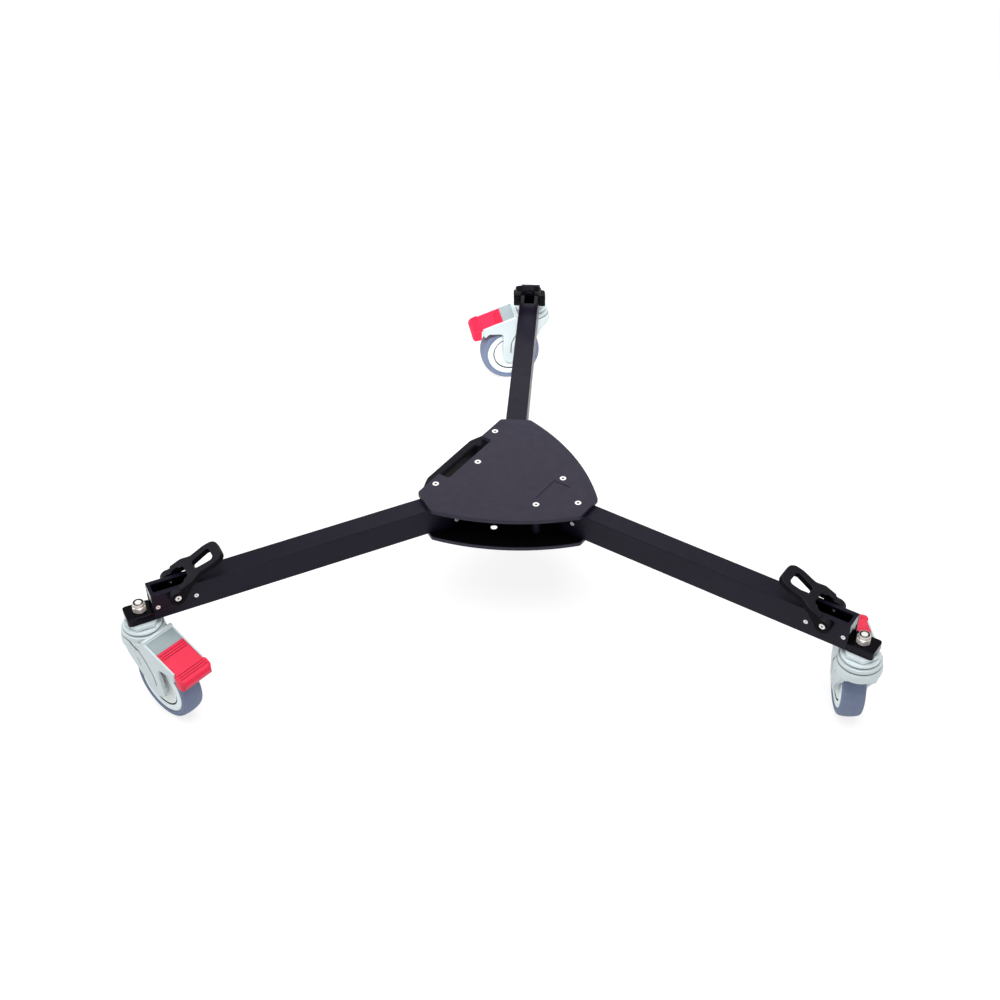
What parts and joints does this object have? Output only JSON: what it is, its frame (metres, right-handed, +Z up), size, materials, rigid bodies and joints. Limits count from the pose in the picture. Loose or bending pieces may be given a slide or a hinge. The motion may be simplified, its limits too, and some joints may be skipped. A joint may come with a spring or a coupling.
{
  "type": "tripod dolly",
  "caption": "Folding floor dolly for a camera tripod, with foot clamps on its arms, braked swivel casters and a carry handle.",
  "frame": {"origin": "middle of the hub's upper face, on the axis that the arms spread from", "axes": "+Z up, +X along the arm that stays put, the folding arms at 120 and 240 degrees"},
  "size_m": [0.9126, 0.9822, 0.2302],
  "materials": {
    "bottom_plate": "black anodised, satin",
    "carry_handle": "black powder coat",
    "front_arm_tube": "black anodised, satin",
    "front_bail_screw_a": "bright",
    "front_bail_screw_b": "bright",
    "front_brake_pedal": "red",
    "front_caster_housing": "light grey",
    "front_caster_stem": "light grey",
    "front_end_block": "black, polished",
    "front_foot_bail": "black, fine grain",
    "front_hinge_block": "black",
    "front_pedal_pin": "plated",
    "front_pivot_bolt": "zinc plated",
    "front_stem_nut": "bright nickel",
    "front_swivel_ring": "light grey",
    "front_thread_guard_a": "warm grey",
    "front_thread_guard_b": "warm grey",
    "front_tyre": "blue grey",
    "front_wheel_axle": "plated",
    "front_wheel_rim": "pale grey",
    "left_arm_tube": "black anodised, satin",
    "left_bail_screw_a": "bright",
    "left_bail_screw_b": "bright",
    "left_brake_pedal": "red",
    "left_caster_housing": "light grey",
    "left_caster_stem": "light grey",
    "left_end_block": "black, polished",
    "left_foot_bail": "black, fine grain",
    "left_hinge_block": "black",
    "left_pedal_pin": "plated",
    "left_pivot_bolt": "zinc plated",
    "left_stem_nut": "bright nickel",
    "left_swivel_ring": "light grey",
    "left_thread_guard_a": "warm grey",
    "left_thread_guard_b": "warm grey",
    "left_tyre": "blue grey",
    "left_wheel_axle": "plated",
    "left_wheel_rim": "pale grey",
    "right_arm_tube": "black anodised, satin",
    "right_bail_screw_a": "bright",
    "right_bail_screw_b": "bright",
    "right_brake_pedal": "red",
    "right_caster_housing": "light grey",
    "right_caster_stem": "light grey",
    "right_end_block": "black, polished",
    "right_foot_bail": "black, fine grain",
    "right_hinge_block": "black",
    "right_pedal_pin": "plated",
    "right_pivot_bolt": "zinc plated",
    "right_stem_nut": "bright nickel",
    "right_swivel_ring": "light grey",
    "right_thread_guard_a": "warm grey",
    "right_thread_guard_b": "warm grey",
    "right_tyre": "blue grey",
    "right_wheel_axle": "plated",
    "right_wheel_rim": "pale grey",
    "spacer_post_left": "black anodised, satin",
    "spacer_post_right": "black anodised, satin",
    "top_plate": "black anodised, satin"
  },
  "bodies": {
    "hub": {"top_plate": "top_plate", "bottom_plate": "bottom_plate", "carry_handle": "carry_handle", "spacer_post_left": "spacer_post_left", "spacer_post_right": "spacer_post_right", "front_pivot_bolt": "front_pivot_bolt", "left_pivot_bolt": "left_pivot_bolt", "right_pivot_bolt": "right_pivot_bolt", "front_arm_tube": "front_arm_tube", "front_hinge_block": "front_hinge_block", "front_end_block": "front_end_block", "front_stem_nut": "front_stem_nut", "front_caster_stem": "front_caster_stem", "front_bail_screw_a": "front_bail_screw_a", "front_bail_screw_b": "front_bail_screw_b"},
    "left_arm": {"left_arm_tube": "left_arm_tube", "left_hinge_block": "left_hinge_block", "left_end_block": "left_end_block", "left_stem_nut": "left_stem_nut", "left_caster_stem": "left_caster_stem", "left_bail_screw_a": "left_bail_screw_a", "left_bail_screw_b": "left_bail_screw_b"},
    "right_arm": {"right_arm_tube": "right_arm_tube", "right_hinge_block": "right_hinge_block", "right_end_block": "right_end_block", "right_stem_nut": "right_stem_nut", "right_caster_stem": "right_caster_stem", "right_bail_screw_a": "right_bail_screw_a", "right_bail_screw_b": "right_bail_screw_b"},
    "front_bail": {"front_foot_bail": "front_foot_bail"},
    "left_bail": {"left_foot_bail": "left_foot_bail"},
    "right_bail": {"right_foot_bail": "right_foot_bail"},
    "front_caster": {"front_swivel_ring": "front_swivel_ring", "front_caster_housing": "front_caster_housing", "front_wheel_axle": "front_wheel_axle", "front_pedal_pin": "front_pedal_pin"},
    "front_wheel": {"front_wheel_rim": "front_wheel_rim", "front_tyre": "front_tyre", "front_thread_guard_a": "front_thread_guard_a", "front_thread_guard_b": "front_thread_guard_b"},
    "front_pedal": {"front_brake_pedal": "front_brake_pedal"},
    "left_caster": {"left_swivel_ring": "left_swivel_ring", "left_caster_housing": "left_caster_housing", "left_wheel_axle": "left_wheel_axle", "left_pedal_pin": "left_pedal_pin"},
    "left_wheel": {"left_wheel_rim": "left_wheel_rim", "left_tyre": "left_tyre", "left_thread_guard_a": "left_thread_guard_a", "left_thread_guard_b": "left_thread_guard_b"},
    "left_pedal": {"left_brake_pedal": "left_brake_pedal"},
    "right_caster": {"right_swivel_ring": "right_swivel_ring", "right_caster_housing": "right_caster_housing", "right_wheel_axle": "right_wheel_axle", "right_pedal_pin": "right_pedal_pin"},
    "right_wheel": {"right_wheel_rim": "right_wheel_rim", "right_tyre": "right_tyre", "right_thread_guard_a": "right_thread_guard_a", "right_thread_guard_b": "right_thread_guard_b"},
    "right_pedal": {"right_brake_pedal": "right_brake_pedal"}
  },
  "joints": [
    {"name": "left_arm_fold", "type": "hinge", "parent": "hub", "child": "left_arm", "pos_m": [-0.0475, 0.08227, -0.0263], "axis": [0, 0, 1], "range_deg": [-120, 0]},
    {"name": "right_arm_fold", "type": "hinge", "parent": "hub", "child": "right_arm", "pos_m": [-0.0475, -0.08227, -0.0263], "axis": [0, 0, 1], "range_deg": [0, 120]},
    {"name": "front_bail_swing", "type": "hinge", "parent": "hub", "child": "front_bail", "pos_m": [0.4814, 0, -0.0149], "axis": [0, 1, 0], "range_deg": [0, 100]},
    {"name": "left_bail_swing", "type": "hinge", "parent": "left_arm", "child": "left_bail", "pos_m": [-0.2407, 0.41691, -0.0149], "axis": [-0.866, -0.5, 0], "range_deg": [-14, 86]},
    {"name": "right_bail_swing", "type": "hinge", "parent": "right_arm", "child": "right_bail", "pos_m": [-0.2407, -0.41691, -0.0149], "axis": [0.866, -0.5, 0], "range_deg": [0, 100]},
    {"name": "front_swivel", "type": "hinge", "parent": "hub", "child": "front_caster", "pos_m": [0.5286, 0, -0.0463], "axis": [0, 0, 1], "continuous": true},
    {"name": "front_wheel_spin", "type": "hinge", "parent": "front_caster", "child": "front_wheel", "pos_m": [0.50918, 0.0322, -0.1371], "axis": [-0.8563, -0.5165, 0], "continuous": true},
    {"name": "front_pedal_tip", "type": "hinge", "parent": "front_caster", "child": "front_pedal", "pos_m": [0.49864, 0.04966, -0.0833], "axis": [-0.8563, -0.5165, 0], "range_deg": [0, 12]},
    {"name": "left_swivel", "type": "hinge", "parent": "left_arm", "child": "left_caster", "pos_m": [-0.2643, 0.45778, -0.0463], "axis": [0, 0, 1], "continuous": true},
    {"name": "left_wheel_spin", "type": "hinge", "parent": "left_caster", "child": "left_wheel", "pos_m": [-0.29103, 0.43133, -0.1371], "axis": [0.7034, -0.7108, 0], "continuous": true},
    {"name": "left_pedal_tip", "type": "hinge", "parent": "left_caster", "child": "left_pedal", "pos_m": [-0.30553, 0.41698, -0.0833], "axis": [0.7034, -0.7108, 0], "range_deg": [0, 12]},
    {"name": "right_swivel", "type": "hinge", "parent": "right_arm", "child": "right_caster", "pos_m": [-0.2643, -0.45778, -0.0463], "axis": [0, 0, 1], "continuous": true},
    {"name": "right_wheel_spin", "type": "hinge", "parent": "right_caster", "child": "right_wheel", "pos_m": [-0.22696, -0.46217, -0.1371], "axis": [0.1167, 0.9932, 0], "continuous": true},
    {"name": "right_pedal_tip", "type": "hinge", "parent": "right_caster", "child": "right_pedal", "pos_m": [-0.2067, -0.46455, -0.0833], "axis": [0.1167, 0.9932, 0], "range_deg": [0, 12]}
  ]
}
